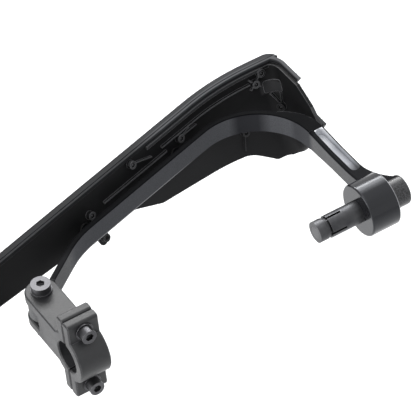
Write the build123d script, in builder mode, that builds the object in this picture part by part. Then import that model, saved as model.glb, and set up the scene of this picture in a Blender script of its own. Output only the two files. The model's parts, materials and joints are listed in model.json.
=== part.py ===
"""Closed-loop motorcycle hand guard for the right-hand end of a 22 mm handlebar.

A forged backbone runs from the bar end, round in front of the lever, to a clamp on the bar.
A moulded shield stands on two bosses of the backbone, and a second moulding covers its upper half.
Frame: X along the bar and outboard, Y forward, Z up, origin on the bar's axis at its open end.
All sizes are in millimetres.
"""

import os
from math import asin, cos, radians, sin, sqrt, tan

from build123d import *

os.makedirs("parts", exist_ok=True)

# Handlebar that the guard fits
bar_d = 22.2
bar_bore_d = 16.0

# Clearances
seat_gap = 0.1
shell_gap = 0.2
thread_play = 0.05
hole_play = 0.4

# Bar end weight
weight_d = 36.5
weight_length = 21.5
weight_edge = 1.2
weight_slot_y = 13.0
weight_slot_height = 17.2

# Backbone: arm and eye at the bar end
eye_d = 20.6
eye_thickness = 14.0
eye_round = 1.8
arm_inner_x = 11.5
arm_width = 10.7
arm_height = 13.0
arm_waist_y0 = 28.0
arm_waist_y1 = 50.0
arm_merge_angle = 38.0
arm_side_radius = 60.0
flare_start_y = 30.0
flare_end_y = 3.0
near_rim = 3.3
far_rim = 0.9
channel_depth = 4.2
channel_start_y = 27.0
channel_end_y = 73.5
arm_edge = 1.5

# Backbone: band in front of the lever
band_thickness = 4.0
band_height = 16.0
bend_radius = 42.5
bend_y = 75.5
run_angle = 17.0
run_length = 124.0
tail_radius = 70.0
edge_break = 0.7

# Backbone: inner eye and bosses for the shield
pivot_x = -207.0
pivot_y = 48.0
tongue_d = 20.0
tongue_height = 12.0
boss_d = 8.0
boss_z = -4.0
boss_stations = (-67.0, -152.0)

# Shield and cover: front surface
front_y = 141.0
front_radius = 176.0
front_apex_x = 6.9
front_inner_x = -238.0
front_end_x = 29.9
corner_radius = 15.0
wall_bow_radius = 180.0
wall_bow_z = 51.5
wall_half_height = 56.0
cover_wall = 2.5
shield_wall = 2.5

# Cover
cover_top_z = 20.5
lip_thickness = 2.4
lip_depth = 6.3
lip_corner_radius = 9.0
groove_width = 0.6
groove_depth = 0.5
groove_inset = 4.2
cover_end_chamfer = 8.0
cover_tip_y = 110.0
cover_foot_z = -30.0
cover_lower_edge = ((front_inner_x, -2.0), (-165.0, -7.5), (-30.0, -13.0), (-16.0, cover_foot_z))
cover_lower_radii = (10.0, 60.0, 14.0, 10.0)
cover_rear_edge = ((118.0, 9.7), (100.8, 0.6), (81.5, 0.3), (85.5, -6.4), (107.0, -38.0))

# Shield
shield_rear_y = 80.2
shield_tip_y = 109.0
shield_foot_z = -45.2
shield_lower_edge = (
    (front_inner_x, -6.0),
    (-113.0, -13.5),
    (-86.0, -24.2),
    (-8.0, -35.0),
    (9.5, shield_foot_z),
)
shield_lower_radii = (10.0, 40.0, 14.0, 30.0, 6.0)
shield_rear_edge = ((93.2, 10.1), (shield_rear_y, -2.5), (98.0, -29.8), (106.0, -40.2), (112.5, -45.5))
ledge_depth = 7.4
ledge_thickness = 2.2
ledge_inner_x = -87.0
rib_thickness = 0.9
rib_depth = 1.6
long_ribs = ((-130.5, -71.5, 4.1), (-75.0, 5.0, 8.8))
screw_boss_d = 5.8
screw_boss_length = 3.4
star = ((45, 5.5), (135, 5.5), (225, 5.5), (315, 5.5))
front_screws = (
    (14.4, 12.7, ()),
    (9.0, 6.4, star),
    (-60.5, 3.9, ((0, 17.0), (13, 10.5))),
    (-103.0, 12.8, ((-18, 19.0),)),
    (-145.0, 2.0, ()),
    (-9.2, -22.0, ((250, 13.0),)),
)
corner_screw_turn = 59.0
corner_screw_z = -15.7
corner_gussets = ((114, 12.0), (80, 11.0))
pad_turn = 40.0
pad_z = 0.0
pad_height = 9.0
pad_length = 12.5
pad_thickness = 0.5
tab_x = -141.3
tab_z = -17.8
tab_d = 8.5
tab_hole_d = 3.4

# Fasteners
m8_d = 8.0
m8_head_d = 13.0
m8_head_height = 5.0
m8_socket = 5.0
m8_washer_d = 14.0
m8_washer_thickness = 1.5
m8_nut_flats = 13.0
m8_nut_height = 8.0
m6_d = 6.0
m6_socket = 5.0
m6_cap_d = 10.0
m6_cap_height = 6.0
m6_washer_d = 12.0
m6_washer_thickness = 1.2
m5_d = 5.0
m5_head_d = 9.5
m5_head_height = 2.75
m5_socket = 3.0
m5_reach = 6.6
m5_tip_room = 0.8
m5_washer_d = 10.0
m5_washer_thickness = 1.0
rubber_thickness = 1.5
screw_d = 2.9
screw_head_d = 5.6
screw_length = 8.6
screw_sink = 0.17
screw_sink_angle = 82.0
spot_depth = 0.3

# Expander in the bar's open end
expander_play = 0.25
expander_length = 24.0
expander_slot_width = 1.6
expander_slot_length = 10.5
cone_seat_length = 6.0
cone_lead = 3.0
cone_rear_length = 6.0
cone_slope = 0.26
cone_wall = 1.0

# Clamp on the bar
clamp_width = 22.0
clamp_wall = 6.9
clamp_split = 1.5
clamp_bolt_z = 23.2
clamp_flange = 16.0
clamp_ear = 6.5
fork_cheek = 7.0
fork_play = 0.15
fork_floor_gap = 2.0
tongue_neck = 5.0
clamp_corner = 2.0
clamp_chamfer = 0.8

# Derived places
run = radians(run_angle)
arm_outer_x = arm_inner_x + arm_width
eye_x0 = weight_length
eye_x1 = eye_x0 + eye_thickness
flare_x1 = eye_x1 - 1.2 * eye_round
bend_x = arm_inner_x - bend_radius
run_out = Vector(cos(run), sin(run))
run_forward = Vector(-sin(run), cos(run))
shield_outer = cover_wall + shell_gap
shield_inner = shield_outer + shield_wall
shield_top_z = cover_top_z - lip_thickness - shell_gap
corner_x = front_end_x - corner_radius
bar_r = bar_d / 2
past = 20.0  # how far a cutting shape runs past what it cuts


def along(origin, direction, distance):
    """Plan point at a distance from the origin."""
    return Vector(origin.X + direction.X * distance, origin.Y + direction.Y * distance)


def meet(point_a, dir_a, point_b, dir_b):
    """Plan point where two straight lines cross."""
    gap = point_b - point_a
    cross = dir_a.X * dir_b.Y - dir_a.Y * dir_b.X
    return along(point_a, dir_a, (gap.X * dir_b.Y - gap.Y * dir_b.X) / cross)


# Backbone in plan: the inner face of the run touches the bend, and the tail aims at the pivot
bend_centre = Vector(bend_x, bend_y)
run_start = along(bend_centre, run_forward, bend_radius)
mid = band_thickness / 2
tail_corner = along(along(run_start, run_forward, mid), run_out, -run_length)
pivot = Vector(pivot_x, pivot_y)

# Corners of the band's middle line, before they are rounded
band_arm = Vector(arm_inner_x + mid, bend_y - edge_break)
band_corner = meet(band_arm, Vector(0, 1), tail_corner, run_out)

# Front surface: in plan a straight run, a long arc and a short straight to the outboard end,
# in section an arc whose middle lies above the guard, so that the wall leans back towards its foot
bow_back = sqrt(wall_bow_radius**2 - wall_bow_z**2)
front_centre = Vector(front_apex_x, front_y - front_radius)
front_tangent = along(front_centre, run_forward, front_radius)
straight_length = (front_tangent.X - front_inner_x) / cos(run)


def front_station(x):
    """Plan point and outward direction of the cover's face at height zero."""
    if x >= front_apex_x:
        return Vector(x, front_y), Vector(0, 1)
    if x >= front_tangent.X:
        turn = asin((front_apex_x - x) / front_radius)
        outward = Vector(-sin(turn), cos(turn))
        return along(front_centre, outward, front_radius), outward
    return along(front_tangent, run_out, (x - front_tangent.X) / cos(run)), run_forward


def wall_plane(x, z, inset):
    """Plane on the bowed wall, its Z axis outward and its X axis outboard."""
    point, outward = front_station(x)
    lean = asin((z - wall_bow_z) / wall_bow_radius)
    normal = Vector(outward.X * cos(lean), outward.Y * cos(lean), sin(lean))
    base = along(point, outward, -bow_back)
    origin = Vector(base.X, base.Y, wall_bow_z) + normal * (wall_bow_radius - inset)
    return Plane(origin=origin, x_dir=(outward.Y, -outward.X, 0), z_dir=normal)


def corner_plane(turn, z, inset):
    """Plane on the rounded corner, turned from the front wall towards the end wall."""
    front = wall_plane(front_end_x - inset, z, inset)
    radius = corner_radius - inset
    sideways = Vector(1, 0, 0)
    normal = front.z_dir * cos(radians(turn)) + sideways * sin(radians(turn))
    across = sideways * cos(radians(turn)) - front.z_dir * sin(radians(turn))
    origin = front.origin + (normal - front.z_dir - sideways) * radius
    return Plane(origin=origin, x_dir=across, z_dir=normal)


def behind_front(inset, end_x, extra=0.0, corner=0.0):
    """Everything behind the front surface moved in by inset, from past the inner end to end_x."""
    bow = wall_bow_radius - inset
    half = wall_half_height + extra
    depth = front_y - shield_rear_y + past + extra
    top, middle, foot = [
        (sqrt(bow**2 - (z - wall_bow_z) ** 2) - bow_back, z) for z in (half, 0, -half)
    ]
    with BuildSketch() as section:
        with BuildLine():
            ThreePointArc(top, middle, foot)
            Polyline(foot, (-depth, -half), (-depth, half), top)
        make_face()
    first = along(front_tangent, run_out, -straight_length - extra)
    apex = along(front_centre, Vector(0, 1), front_radius)
    with BuildPart() as body:
        with BuildSketch(Plane(origin=first, x_dir=run_forward, z_dir=run_out)):
            add(section.sketch)
        extrude(amount=straight_length + extra)
        with BuildSketch(Plane(origin=front_tangent, x_dir=run_forward, z_dir=run_out)):
            add(section.sketch)
        revolve(axis=Axis(front_centre, (0, 0, -1)), revolution_arc=run_angle)
        with BuildSketch(Plane(origin=apex, x_dir=(0, 1, 0), z_dir=(1, 0, 0))):
            add(section.sketch)
        extrude(amount=end_x - front_apex_x)
        if corner > 0:
            end_face = body.faces().sort_by(Axis.X)[-1]
            fillet(end_face.edges().sort_by(Axis.Y)[-1], radius=corner)
    return body.part


cover_volume = behind_front(0, front_end_x, corner=corner_radius)
cover_hollow = behind_front(cover_wall, front_end_x - cover_wall, past, corner_radius - cover_wall)
shield_volume = behind_front(shield_outer, front_end_x - shield_outer, corner=corner_radius - shield_outer)
shield_hollow = behind_front(
    shield_inner, front_end_x - shield_inner, past, corner_radius - shield_inner
)
root_inset = shield_inner - shield_wall / 2
rib_inset = shield_inner + rib_depth
pad_inset = shield_inner + pad_thickness
rib_root = behind_front(root_inset, front_end_x - root_inset, corner=corner_radius - root_inset)
rib_hollow = behind_front(rib_inset, front_end_x - rib_inset, past, corner_radius - rib_inset)
pad_hollow = behind_front(pad_inset, front_end_x - pad_inset, past, corner_radius - pad_inset)
lip_volume = behind_front(0, front_end_x, corner=lip_corner_radius)
lip_hollow = behind_front(lip_depth, front_end_x + past, past)
ledge_hollow = behind_front(ledge_depth, front_end_x + past, past)
groove_outer = behind_front(groove_inset, front_end_x - cover_wall)
groove_inner = behind_front(groove_inset + groove_width, front_end_x + past, past)

# Arm blank: plan outline and side outline together give the forged arm, its flare and the eye
merge = radians(arm_merge_angle)
merge_way = Vector(cos(merge), sin(merge))
merge_out = along(bend_centre, merge_way, bend_radius + band_thickness)
merge_in = along(bend_centre, merge_way, bend_radius + mid)
with BuildPart() as arm_blank:
    with BuildSketch():
        with BuildLine():
            Polyline(
                (arm_inner_x + mid, bend_y),
                (arm_inner_x, bend_y),
                (arm_inner_x, 0),
                (flare_x1, 0),
                (flare_x1, flare_end_y),
            )
            TangentArc((arm_outer_x, flare_start_y), (flare_x1, flare_end_y), tangent=(0, -1))
            Line((arm_outer_x, flare_start_y), (arm_outer_x, bend_y))
            TangentArc((arm_outer_x, bend_y), merge_out, tangent=(0, 1))
            Line(merge_out, merge_in)
            RadiusArc(merge_in, (arm_inner_x + mid, bend_y), bend_radius + mid)
        make_face()
    extrude(amount=eye_d / 2, both=True)
    with BuildSketch(Plane.YZ):
        with BuildLine():
            upper_side = FilletPolyline(
                (0, eye_d / 2),
                (arm_waist_y0, arm_height / 2),
                (arm_waist_y1, arm_height / 2),
                (bend_y, band_height / 2),
                (bend_y + bend_radius, band_height / 2),
                radius=arm_side_radius,
            )
            Polyline(upper_side @ 1, (bend_y + bend_radius, 0), (0, 0), upper_side @ 0)
        make_face()
        mirror(about=Plane.XZ)
    extrude(amount=eye_x1 + past, mode=Mode.INTERSECT)
    with BuildSketch(Plane.YZ.offset(eye_x0)):
        Circle(eye_d / 2)
    extrude(amount=eye_thickness)
    eye_rim = arm_blank.faces().filter_by_position(Axis.X, eye_x1, eye_x1)
    fillet(eye_rim.edges(), radius=eye_round)
    inner_edges = arm_blank.edges().filter_by_position(Axis.X, arm_inner_x, arm_inner_x)
    level_edges = inner_edges.filter_by(Axis.Z, reverse=True)
    long_edges = level_edges.filter_by_position(Axis.Y, flare_start_y, bend_y)
    fillet(long_edges, radius=arm_edge)

# Backbone: band, arm, inner eye and bosses
channel_x = (arm_inner_x + near_rim + arm_outer_x - far_rim) / 2
channel_width = arm_width - near_rim - far_rim
channel_length = channel_end_y - channel_start_y
with BuildPart() as backbone:
    with BuildLine() as spine:
        FilletPolyline(band_arm, band_corner, tail_corner, pivot, radius=(bend_radius + mid, tail_radius))
    with BuildSketch(Plane(origin=spine.line @ 1, x_dir=(0, 0, 1), z_dir=spine.line % 1)):
        RectangleRounded(band_height, band_thickness, edge_break)
    sweep(path=spine.line)
    add(arm_blank.part)
    with Locations((pivot_x, pivot_y, 0)):
        Cylinder(tongue_d / 2, tongue_height)
    tongue_room = clamp_width / 2 + tongue_neck
    for side in (1, -1):
        with Locations((pivot_x, pivot_y, side * (tongue_height + band_height) / 2)):
            Cylinder(tongue_room, band_height, mode=Mode.SUBTRACT)
        with BuildSketch(Plane.XY.offset(side * (arm_height / 2 - channel_depth))):
            with Locations((channel_x, channel_start_y + channel_length / 2)):
                RectangleRounded(channel_width, channel_length, channel_width / 2 - seat_gap)
        extrude(amount=side * band_height, mode=Mode.SUBTRACT)
    for station in boss_stations:
        boss_face = wall_plane(station, boss_z, shield_inner + rubber_thickness + seat_gap)
        with BuildSketch(boss_face):
            Circle(boss_d / 2)
        extrude(until=Until.NEXT, dir=-boss_face.z_dir)
        with Locations(boss_face):
            Hole(m5_d / 2 + thread_play, depth=m5_reach + m5_tip_room)
    with BuildSketch(Plane.YZ):
        Circle(weight_d / 2 + seat_gap)
        with Locations((weight_slot_y, 0)):
            slot_align = (Align.MIN, Align.CENTER)
            Rectangle(weight_d, weight_slot_height, align=slot_align, mode=Mode.SUBTRACT)
    extrude(amount=weight_length, mode=Mode.SUBTRACT)
    with BuildSketch(Plane.YZ):
        Circle((m8_d + hole_play) / 2)
    extrude(amount=eye_x1 + past, mode=Mode.SUBTRACT)
    eye_seat_x = eye_x1 - m8_head_height - m8_washer_thickness - eye_round / 2
    with BuildSketch(Plane.YZ.offset(eye_seat_x)):
        Circle((m8_washer_d + hole_play) / 2)
    extrude(amount=eye_thickness, mode=Mode.SUBTRACT)
    with Locations((pivot_x, pivot_y, 0)):
        Cylinder((m8_d + hole_play) / 2, 2 * band_height, mode=Mode.SUBTRACT)
backbone.part.label = "backbone"
export_step(backbone.part, "parts/backbone.step")

# Bar end weight, slotted in front for the foot of the arm
with BuildPart() as bar_end_weight:
    with BuildSketch(Plane.YZ):
        Circle(weight_d / 2)
        Circle((m8_d + hole_play) / 2, mode=Mode.SUBTRACT)
    extrude(amount=weight_length)
    rims = bar_end_weight.edges().filter_by(GeomType.CIRCLE).sort_by(SortBy.RADIUS)[-2:]
    fillet(rims, radius=weight_edge)
    with BuildSketch(Plane.YZ.offset(arm_inner_x - seat_gap)):
        with Locations((weight_slot_y - seat_gap, 0)):
            Rectangle(weight_d, weight_slot_height + 2 * seat_gap, align=slot_align)
    extrude(amount=weight_length, mode=Mode.SUBTRACT)
bar_end_weight.part.label = "bar_end_weight"
export_step(bar_end_weight.part, "parts/bar_end_weight.step")

# Bar end washer
with BuildPart() as bar_end_washer:
    with BuildSketch(Plane.YZ.offset(eye_seat_x)):
        Circle(m8_washer_d / 2)
        Circle((m8_d + hole_play) / 2, mode=Mode.SUBTRACT)
    extrude(amount=m8_washer_thickness)
bar_end_washer.part.label = "bar_end_washer"
export_step(bar_end_washer.part, "parts/bar_end_washer.step")

# Expander cone: a nut drawn into the split sleeve by the bolt
expander_r = bar_bore_d / 2 - expander_play
cone_tip_x = -expander_length + cone_seat_length
cone_tip_r = m8_d / 2 + cone_wall
cone_wide_x = cone_tip_x - cone_seat_length - cone_lead
cone_wide_r = cone_tip_r + cone_slope * (cone_seat_length + cone_lead)
cone_end_x = cone_wide_x - cone_rear_length
with BuildPart() as expander_cone:
    with BuildSketch(Plane.XY):
        with BuildLine():
            Polyline(
                (cone_tip_x, m8_d / 2 + thread_play),
                (cone_tip_x, cone_tip_r),
                (cone_wide_x, cone_wide_r),
                (cone_end_x, cone_wide_r),
                (cone_end_x, m8_d / 2 + thread_play),
                (cone_tip_x, m8_d / 2 + thread_play),
            )
        make_face()
    revolve(axis=Axis.X)
expander_cone.part.label = "expander_cone"
export_step(expander_cone.part, "parts/expander_cone.step")

# Expander sleeve: split from its inner end, with a seat for the cone
with BuildPart() as expander_sleeve:
    with BuildSketch(Plane.XY):
        with BuildLine():
            Polyline(
                (0, cone_tip_r + seat_gap),
                (cone_tip_x, cone_tip_r + seat_gap),
                (-expander_length, cone_tip_r + seat_gap + cone_slope * cone_seat_length),
                (-expander_length, expander_r),
                (0, expander_r),
                (0, cone_tip_r + seat_gap),
            )
        make_face()
    revolve(axis=Axis.X)
    for slot_plane in (Plane.XY, Plane.XZ):
        with BuildSketch(slot_plane):
            with Locations((-expander_length, 0)):
                Rectangle(2 * expander_slot_length, expander_slot_width)
        extrude(amount=bar_bore_d, both=True, mode=Mode.SUBTRACT)
expander_sleeve.part.label = "expander_sleeve"
export_step(expander_sleeve.part, "parts/expander_sleeve.step")

# Bar end bolt: socket head in the eye, thread in the cone
bolt_head_x = eye_seat_x + m8_washer_thickness
with BuildPart() as bar_end_bolt:
    with BuildSketch(Plane.YZ.offset(cone_end_x)):
        Circle(m8_d / 2)
    extrude(amount=bolt_head_x - cone_end_x)
    with BuildSketch(Plane.YZ.offset(bolt_head_x)):
        Circle(m8_head_d / 2)
    extrude(amount=m8_head_height)
    with BuildSketch(Plane.YZ.offset(bolt_head_x + m8_head_height)):
        RegularPolygon(radius=m8_socket / 2, side_count=6, major_radius=False)
    extrude(amount=-m8_head_height / 2, mode=Mode.SUBTRACT)
bar_end_bolt.part.label = "bar_end_bolt"
export_step(bar_end_bolt.part, "parts/bar_end_bolt.step")

# Shield: bowed wall with an end wall, a ledge, ribs, bosses, a pad and a tab
gusset_roots = [(wall_plane(x, z, shield_inner), gussets) for x, z, gussets in front_screws]
gusset_roots.append((corner_plane(corner_screw_turn, corner_screw_z, shield_inner), corner_gussets))
with BuildPart() as rib_set:
    with BuildSketch(Plane.XZ):
        for rib_start, rib_end, rib_z in long_ribs:
            with Locations(((rib_start + rib_end) / 2, rib_z)):
                Rectangle(rib_end - rib_start, rib_thickness)
    extrude(amount=-2 * front_y)
    for root, gussets in gusset_roots:
        for turn, length in gussets:
            with BuildSketch(root):
                Rectangle(length, rib_thickness, rotation=-turn, align=(Align.MIN, Align.CENTER))
            extrude(amount=2 * rib_inset, both=True)
    add(rib_root, mode=Mode.INTERSECT)
    add(rib_hollow, mode=Mode.SUBTRACT)

with BuildPart() as pad:
    with BuildSketch(corner_plane(pad_turn, pad_z, shield_inner)):
        RectangleRounded(pad_length, pad_height, rib_depth)
    extrude(amount=2 * rib_inset, both=True)
    add(rib_root, mode=Mode.INTERSECT)
    add(pad_hollow, mode=Mode.SUBTRACT)

with BuildPart() as ledge:
    add(shield_volume)
    add(ledge_hollow, mode=Mode.SUBTRACT)
    with BuildSketch(Plane.XY.offset(shield_top_z)):
        with Locations((ledge_inner_x, 0)):
            Rectangle(front_end_x - ledge_inner_x + past, 3 * front_y, align=(Align.MIN, Align.CENTER))
    extrude(amount=-ledge_thickness, mode=Mode.INTERSECT)

with BuildPart() as shield:
    add(shield_volume)
    add(shield_hollow, mode=Mode.SUBTRACT)
    with BuildSketch(Plane.XZ):
        with BuildLine():
            lower = FilletPolyline(
                (front_inner_x, shield_top_z - cover_end_chamfer),
                *shield_lower_edge,
                (front_end_x + past, shield_foot_z),
                radius=shield_lower_radii,
            )
            Polyline(
                lower @ 1,
                (front_end_x + past, shield_top_z),
                (front_inner_x + cover_end_chamfer, shield_top_z),
                lower @ 0,
            )
        make_face()
        tab_seat = wall_plane(tab_x, tab_z, root_inset)
        with Locations((tab_seat.origin.X, tab_seat.origin.Z)):
            Circle(tab_d / 2)
            Rectangle(tab_d, tab_d, align=(Align.CENTER, Align.MIN))
    extrude(amount=2 * front_y, both=True, mode=Mode.INTERSECT)
    with BuildSketch(Plane.YZ.offset(corner_x)):
        with BuildLine():
            Polyline(
                (shield_tip_y, shield_top_z + shell_gap),
                *shield_rear_edge,
                (0, -wall_half_height),
                (0, shield_top_z + shell_gap),
                (shield_tip_y, shield_top_z + shell_gap),
            )
        make_face()
    extrude(amount=past, mode=Mode.SUBTRACT)
    add(ledge.part)
    add(rib_set.part)
    add(pad.part)
    screw_roots = [wall_plane(x, z, root_inset) for x, z, _ in front_screws]
    screw_roots.append(corner_plane(corner_screw_turn, corner_screw_z, root_inset))
    with Locations(screw_roots, tab_seat):
        Cylinder(
            screw_boss_d / 2,
            screw_boss_length + shield_wall / 2,
            align=(Align.CENTER, Align.CENTER, Align.MAX),
        )
    with Locations(screw_roots):
        Cylinder(screw_d / 2 + thread_play, 4 * screw_boss_length, mode=Mode.SUBTRACT)
    for station in boss_stations:
        with Locations(wall_plane(station, boss_z, shield_inner)):
            Cylinder((m5_d + hole_play) / 2, 4 * shield_wall, mode=Mode.SUBTRACT)
    with Locations(wall_plane(tab_x, tab_z, shield_inner)):
        Cylinder(tab_hole_d / 2, 4 * screw_boss_length, mode=Mode.SUBTRACT)
shield.part.label = "shield"
export_step(shield.part, "parts/shield.step")

# Upper cover: bowed wall with a grooved lip, an overhanging corner and a wing
with BuildPart() as lip:
    add(lip_volume)
    add(lip_hollow, mode=Mode.SUBTRACT)
    with BuildSketch(Plane.XY.offset(cover_top_z)):
        Rectangle(4 * front_y, 4 * front_y)
    extrude(amount=-lip_thickness, mode=Mode.INTERSECT)

with BuildPart() as groove:
    add(groove_outer)
    add(groove_inner, mode=Mode.SUBTRACT)
    with BuildSketch(Plane.XY.offset(cover_top_z + groove_depth)):
        Rectangle(4 * front_y, 4 * front_y)
    extrude(amount=-2 * groove_depth, mode=Mode.INTERSECT)

with BuildPart() as upper_cover:
    add(cover_volume)
    add(cover_hollow, mode=Mode.SUBTRACT)
    with BuildSketch(Plane.XZ):
        with BuildLine():
            cover_lower = FilletPolyline(
                (front_inner_x, cover_top_z - cover_end_chamfer),
                *cover_lower_edge,
                (front_end_x + past, cover_foot_z),
                radius=cover_lower_radii,
            )
            Polyline(
                cover_lower @ 1,
                (front_end_x + past, cover_top_z),
                (front_inner_x + cover_end_chamfer, cover_top_z),
                cover_lower @ 0,
            )
        make_face()
    extrude(amount=2 * front_y, both=True, mode=Mode.INTERSECT)
    add(lip.part)
    with BuildSketch(Plane.YZ.offset(corner_x)):
        with BuildLine():
            Polyline(
                (cover_tip_y, cover_top_z + shell_gap),
                *cover_rear_edge,
                (0, -wall_half_height),
                (0, cover_top_z + shell_gap),
                (cover_tip_y, cover_top_z + shell_gap),
            )
        make_face()
    extrude(amount=past, mode=Mode.SUBTRACT)
    add(groove.part, mode=Mode.SUBTRACT)
    screw_heads = [wall_plane(x, z, 0) for x, z, _ in front_screws]
    screw_heads.append(corner_plane(corner_screw_turn, corner_screw_z, 0))
    for screw_head in screw_heads:
        with Locations(screw_head):
            CounterSinkHole(
                (screw_d + hole_play) / 2,
                (screw_head_d + hole_play) / 2,
                2 * cover_wall,
                counter_sink_angle=screw_sink_angle,
            )
    for station in boss_stations:
        with Locations(wall_plane(station, boss_z, spot_depth)):
            Cylinder((m5_d + hole_play) / 2, 4 * cover_wall, mode=Mode.SUBTRACT)
            Cylinder(
                (m5_washer_d + hole_play) / 2,
                cover_wall,
                align=(Align.CENTER, Align.CENTER, Align.MIN),
                mode=Mode.SUBTRACT,
            )
upper_cover.part.label = "upper_cover"
export_step(upper_cover.part, "parts/upper_cover.step")

# Shield bolts, their washers and the rubber washers behind the shield
with BuildPart() as m5_button:
    with BuildSketch(Plane.XZ):
        with BuildLine():
            rim_point = (m5_head_d / 2, 0)
            top_point = (m5_socket * 0.65, m5_head_height)
            Line((0, 0), rim_point)
            RadiusArc(rim_point, top_point, -m5_head_d / 2)
            Line(top_point, (0, m5_head_height))
            Line((0, m5_head_height), (0, 0))
        make_face()
    revolve(axis=Axis.Z)
    with BuildSketch(Plane.XY.offset(m5_head_height)):
        RegularPolygon(radius=m5_socket / 2, side_count=6, major_radius=False)
    extrude(amount=-m5_head_height / 2, mode=Mode.SUBTRACT)
    button_grip = m5_washer_thickness + shield_inner - spot_depth + rubber_thickness + m5_reach
    Cylinder(m5_d / 2, button_grip, align=(Align.CENTER, Align.CENTER, Align.MAX))

with BuildPart() as shield_bolts:
    for station in boss_stations:
        with Locations(wall_plane(station, boss_z, spot_depth - m5_washer_thickness)):
            add(m5_button.part)
shield_bolts.part.label = "shield_bolts"
export_step(shield_bolts.part, "parts/shield_bolts.step")

with BuildPart() as shield_washers:
    for station in boss_stations:
        with BuildSketch(wall_plane(station, boss_z, spot_depth)):
            Circle(m5_washer_d / 2)
            Circle((m5_d + hole_play) / 2, mode=Mode.SUBTRACT)
        extrude(amount=m5_washer_thickness)
shield_washers.part.label = "shield_washers"
export_step(shield_washers.part, "parts/shield_washers.step")

with BuildPart() as rubber_washers:
    for station in boss_stations:
        with BuildSketch(wall_plane(station, boss_z, shield_inner + rubber_thickness + seat_gap)):
            Circle(boss_d / 2)
            Circle((m5_d + hole_play) / 2, mode=Mode.SUBTRACT)
        extrude(amount=rubber_thickness)
rubber_washers.part.label = "rubber_washers"
export_step(rubber_washers.part, "parts/rubber_washers.step")

# Cover screws: countersunk, from the front through the cover into the shield's bosses
sink_height = (screw_head_d - screw_d) / 2 / tan(radians(screw_sink_angle / 2))
with BuildPart() as cover_screw:
    with BuildSketch(Plane.XZ):
        with BuildLine():
            Polyline(
                (0, -screw_sink),
                (screw_head_d / 2, -screw_sink),
                (screw_d / 2, -screw_sink - sink_height),
                (screw_d / 2, -screw_length + screw_d / 2),
                (0, -screw_length),
                (0, -screw_sink),
            )
        make_face()
    revolve(axis=Axis.Z)
    for slot_turn in (0, 90):
        with BuildSketch(Plane.XY.offset(-screw_sink)):
            Rectangle(screw_d, screw_d / 4, rotation=slot_turn)
        extrude(amount=-sink_height / 2, mode=Mode.SUBTRACT)

with BuildPart() as cover_screws:
    with Locations(screw_heads):
        add(cover_screw.part)
cover_screws.part.label = "cover_screws"
export_step(cover_screws.part, "parts/cover_screws.step")

# Clamp body: front half of the ring, two ears and a fork round the backbone's inner eye
ring_r = bar_r + clamp_wall
fork_gap = tongue_height / 2 + fork_play
fork_z = fork_gap + fork_cheek
ear_z = clamp_bolt_z + clamp_flange / 2
slot_y = pivot_y - tongue_d / 2 - fork_floor_gap
with BuildPart() as clamp_body:
    with BuildSketch(Plane.YZ.offset(pivot_x)):
        Circle(ring_r)
        Rectangle(clamp_ear + clamp_split / 2, 2 * ear_z, align=(Align.MIN, Align.CENTER))
        Rectangle(pivot_y + clamp_width / 2, 2 * fork_z, align=(Align.MIN, Align.CENTER))
        Circle(bar_r, mode=Mode.SUBTRACT)
        with Locations((clamp_split / 2, 0)):
            Rectangle(2 * ring_r, 3 * ring_r, align=(Align.MAX, Align.CENTER), mode=Mode.SUBTRACT)
    extrude(amount=clamp_width / 2, both=True)
    with BuildSketch(Plane.XY):
        with Locations((pivot_x, pivot_y)):
            Circle(clamp_width / 2)
            Rectangle(clamp_width, 2 * pivot_y, align=(Align.CENTER, Align.MAX))
    extrude(amount=2 * ear_z, both=True, mode=Mode.INTERSECT)
    with BuildSketch(Plane.YZ.offset(pivot_x)):
        with Locations((slot_y, 0)):
            Rectangle(pivot_y, 2 * fork_gap, align=(Align.MIN, Align.CENTER))
    extrude(amount=clamp_width, both=True, mode=Mode.SUBTRACT)
    with Locations((pivot_x, pivot_y, 0)):
        Cylinder((m8_d + hole_play) / 2, 4 * fork_z, mode=Mode.SUBTRACT)
    for side in (1, -1):
        with BuildSketch(Plane.XZ):
            with Locations((pivot_x, side * clamp_bolt_z)):
                Circle(m6_d / 2 + thread_play)
        extrude(amount=-2 * ring_r, mode=Mode.SUBTRACT)
    level_edges = clamp_body.edges().filter_by(Axis.X)
    ear_edges = level_edges.group_by(lambda edge: round(abs(edge.center().Z), 3))[-1]
    fillet(ear_edges, radius=clamp_corner)
    chamfer(clamp_body.faces().filter_by(Axis.X).edges(), length=clamp_chamfer)
clamp_body.part.label = "clamp_body"
export_step(clamp_body.part, "parts/clamp_body.step")

# Clamp cap: rear half of the ring
with BuildPart() as clamp_cap:
    with BuildSketch(Plane.YZ.offset(pivot_x)):
        Circle(ring_r)
        Rectangle(clamp_ear + clamp_split / 2, 2 * ear_z, align=(Align.MAX, Align.CENTER))
        Circle(bar_r, mode=Mode.SUBTRACT)
        with Locations((-clamp_split / 2, 0)):
            Rectangle(2 * ring_r, 3 * ring_r, align=(Align.MIN, Align.CENTER), mode=Mode.SUBTRACT)
    extrude(amount=clamp_width / 2, both=True)
    for side in (1, -1):
        with BuildSketch(Plane.XZ):
            with Locations((pivot_x, side * clamp_bolt_z)):
                Circle((m6_d + hole_play) / 2)
        extrude(amount=2 * ring_r, mode=Mode.SUBTRACT)
    level_edges = clamp_cap.edges().filter_by(Axis.X)
    ear_edges = level_edges.group_by(lambda edge: round(abs(edge.center().Z), 3))[-1]
    fillet(ear_edges, radius=clamp_corner)
    chamfer(clamp_cap.faces().filter_by(Axis.X).edges(), length=clamp_chamfer)
clamp_cap.part.label = "clamp_cap"
export_step(clamp_cap.part, "parts/clamp_cap.step")

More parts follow.
